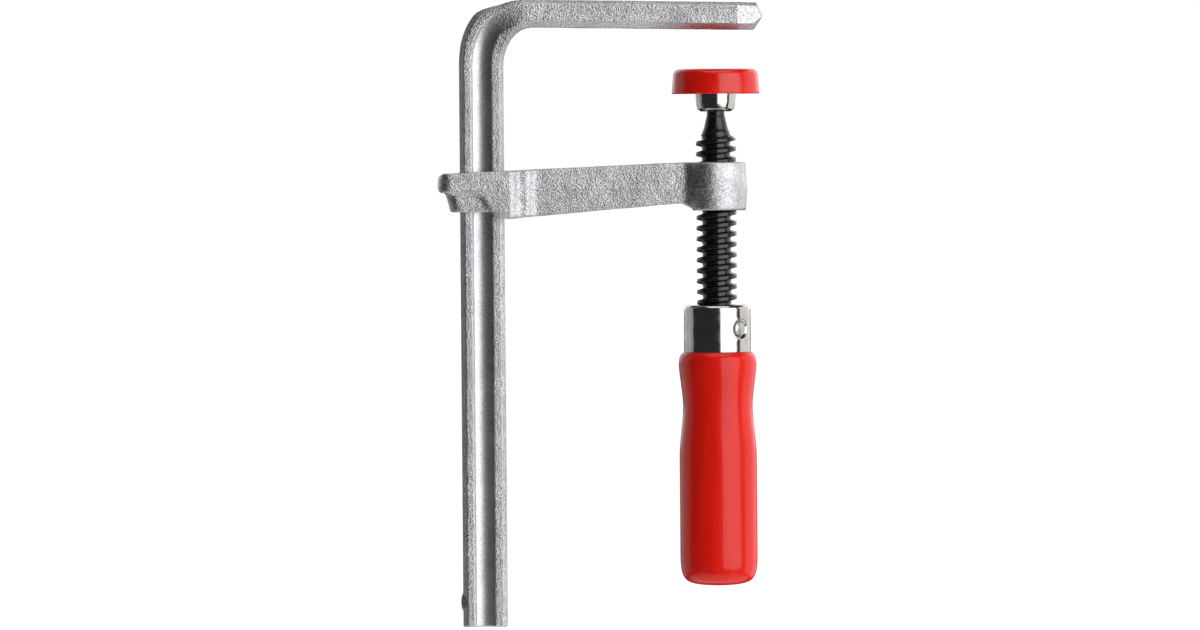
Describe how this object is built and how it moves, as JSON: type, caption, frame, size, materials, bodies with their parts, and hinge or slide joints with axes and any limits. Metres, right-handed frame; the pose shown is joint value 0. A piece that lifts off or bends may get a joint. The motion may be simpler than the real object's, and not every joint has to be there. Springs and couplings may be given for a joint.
{
  "type": "f clamp",
  "caption": "Forged steel table clamp with a grooved rail, a sliding arm, a screw spindle with a tilting capped pressure plate and a turned wooden handle.",
  "frame": {"origin": "where the spindle's axis meets the fixed jaw's face, the underside of the fixed arm", "axes": "+Z along the spindle from the handle to the fixed jaw and along the rail to its bend; +X from the rail to the tip of the fixed arm; +Y across the clamp, square to the plane that it is symmetric about"},
  "size_m": [0.0923, 0.025, 0.1779],
  "materials": {
    "zinc_plated_steel": "satin zinc plating on a shot-blasted forging",
    "dark_steel": "bare dark steel",
    "black_steel": "glossy black oxide, oiled",
    "nickel_plated_steel": "bright nickel plating",
    "spring_steel": "drawn wire",
    "red_plastic": "glossy moulded plastic",
    "red_lacquered_wood": "opaque red lacquer",
    "pin_steel": "zinc plated, peened"
  },
  "bodies": {
    "rail": {"rail": "zinc_plated_steel", "end_stop_pin": "dark_steel"},
    "sliding_arm": {"sliding_arm": "zinc_plated_steel"},
    "swivel_ring": {"snap_ring": "spring_steel"},
    "spindle": {"spindle": "black_steel", "ferrule": "nickel_plated_steel", "handle": "red_lacquered_wood", "cross_pin": "pin_steel"},
    "pressure_plate": {"pressure_plate": "nickel_plated_steel", "protective_cap": "red_plastic"}
  },
  "joints": [
    {"name": "arm_slide", "type": "slide", "parent": "rail", "child": "sliding_arm", "axis": [0, 0, 1], "range_m": [-0.1075, 0.003]},
    {"name": "spindle_travel", "type": "slide", "parent": "sliding_arm", "child": "swivel_ring", "axis": [0, 0, 1], "range_m": [-0.013, 0.006]},
    {"name": "spindle_turn", "type": "hinge", "parent": "swivel_ring", "child": "spindle", "pos_m": [0, 0, -0.0186], "axis": [0, 0, 1], "range_deg": [-1565, 725]},
    {"name": "plate_tilt", "type": "hinge", "parent": "swivel_ring", "child": "pressure_plate", "pos_m": [0, 0, -0.0186], "axis": [0, 1, 0], "range_deg": [-6, 6]}
  ],
  "couplings": [
    {"joint": "spindle_turn", "follows": "spindle_travel", "rad_per_m": 2094.4}
  ]
}
